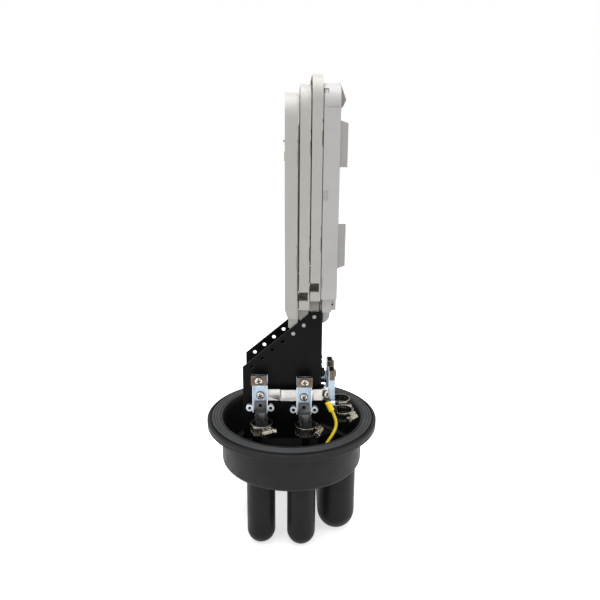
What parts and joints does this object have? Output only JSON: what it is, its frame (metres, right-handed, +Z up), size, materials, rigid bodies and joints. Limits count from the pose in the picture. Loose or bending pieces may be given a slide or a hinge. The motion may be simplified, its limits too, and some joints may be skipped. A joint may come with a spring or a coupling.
{
  "type": "dome splice closure",
  "caption": "Open dome splice closure: round sealed base with closed cable ports, hinge frame with splice trays, storage box, cable clamps and earth bonding.",
  "frame": {"origin": "on the surface that the four round ports stand on, under the centre of the part's bounding box, which is the axis of the round base", "axes": "+Z up along the base's axis towards the trays, +X from the open side of the trays towards the storage box, -Y towards the viewer's side with the earth wire"},
  "size_m": [0.215, 0.215, 0.5489],
  "materials": {
    "black_moulding": "satin black injection moulded polypropylene, fine grain",
    "seal": "matt black moulded rubber with concentric ridges",
    "black_steel": "satin black powder coat on folded steel sheet",
    "tray_plastic": "satin light warm grey plastic",
    "box_plastic": "satin light grey plastic",
    "holder_plastic": "white plastic",
    "zinc": "bright blue zinc plate",
    "nickel": "nickel plate, slightly warm",
    "saddle_plastic": "black plastic",
    "stainless": "stainless steel strip",
    "wire_insulation": "yellow insulation",
    "lug_sleeve": "yellow sleeve on a tinned ring",
    "brassed_steel": "yellow passivated steel"
  },
  "bodies": {
    "housing": {"base": "black_moulding", "round_port_1": "black_moulding", "round_port_2": "black_moulding", "round_port_3": "black_moulding", "round_port_4": "black_moulding", "oval_port": "black_moulding", "seal_ring": "seal", "hinge_frame": "black_steel", "front_plate": "black_steel", "frame_screws": "zinc", "storage_box": "box_plastic", "box_screws": "zinc", "bonding_strip": "nickel", "standoffs": "zinc", "channel_screws": "nickel", "block_screws": "nickel", "worm_screws": "stainless", "clamp_channel_1": "zinc", "clamp_channel_2": "zinc", "clamp_channel_3": "zinc", "clamp_channel_4": "zinc", "clamp_channel_5": "zinc", "clamp_channel_6": "zinc", "clamp_block_1": "nickel", "clamp_block_2": "nickel", "clamp_block_3": "nickel", "clamp_block_4": "nickel", "clamp_block_5": "nickel", "clamp_block_6": "nickel", "cable_saddle_1": "saddle_plastic", "cable_saddle_2": "saddle_plastic", "cable_saddle_3": "saddle_plastic", "cable_saddle_4": "saddle_plastic", "cable_saddle_5": "saddle_plastic", "cable_saddle_6": "saddle_plastic", "hose_band_1": "stainless", "hose_band_2": "stainless", "hose_band_3": "stainless", "hose_band_4": "stainless", "hose_band_5": "stainless", "hose_band_6": "stainless", "worm_housing_1": "stainless", "worm_housing_2": "stainless", "worm_housing_3": "stainless", "worm_housing_4": "stainless", "worm_housing_5": "stainless", "worm_housing_6": "stainless", "earth_screw": "brassed_steel", "earth_lug": "lug_sleeve", "earth_wire": "wire_insulation", "floor_lug": "lug_sleeve", "earth_stud": "brassed_steel", "earth_nut": "nickel"},
    "tray_inner": {"splice_tray_1": "tray_plastic", "splice_holder_1": "holder_plastic"},
    "tray_middle": {"splice_tray_2": "tray_plastic", "splice_holder_2": "holder_plastic"},
    "tray_outer": {"splice_tray_3": "tray_plastic", "splice_holder_3": "holder_plastic", "tray_lid": "tray_plastic"}
  },
  "joints": [
    {"name": "tray_outer_hinge", "type": "hinge", "parent": "housing", "child": "tray_outer", "pos_m": [0.00135, 0, 0.2595], "axis": [0, -1, 0], "range_deg": [0, 80]},
    {"name": "tray_middle_hinge", "type": "hinge", "parent": "housing", "child": "tray_middle", "pos_m": [0.01375, 0, 0.2699], "axis": [0, -1, 0], "range_deg": [0, 80]},
    {"name": "tray_inner_hinge", "type": "hinge", "parent": "housing", "child": "tray_inner", "pos_m": [0.02615, 0, 0.2803], "axis": [0, -1, 0], "range_deg": [0, 80]}
  ],
  "couplings": [
    {"joint": "tray_middle_hinge", "follows": "tray_outer_hinge", "ratio": 1},
    {"joint": "tray_inner_hinge", "follows": "tray_outer_hinge", "ratio": 1}
  ]
}
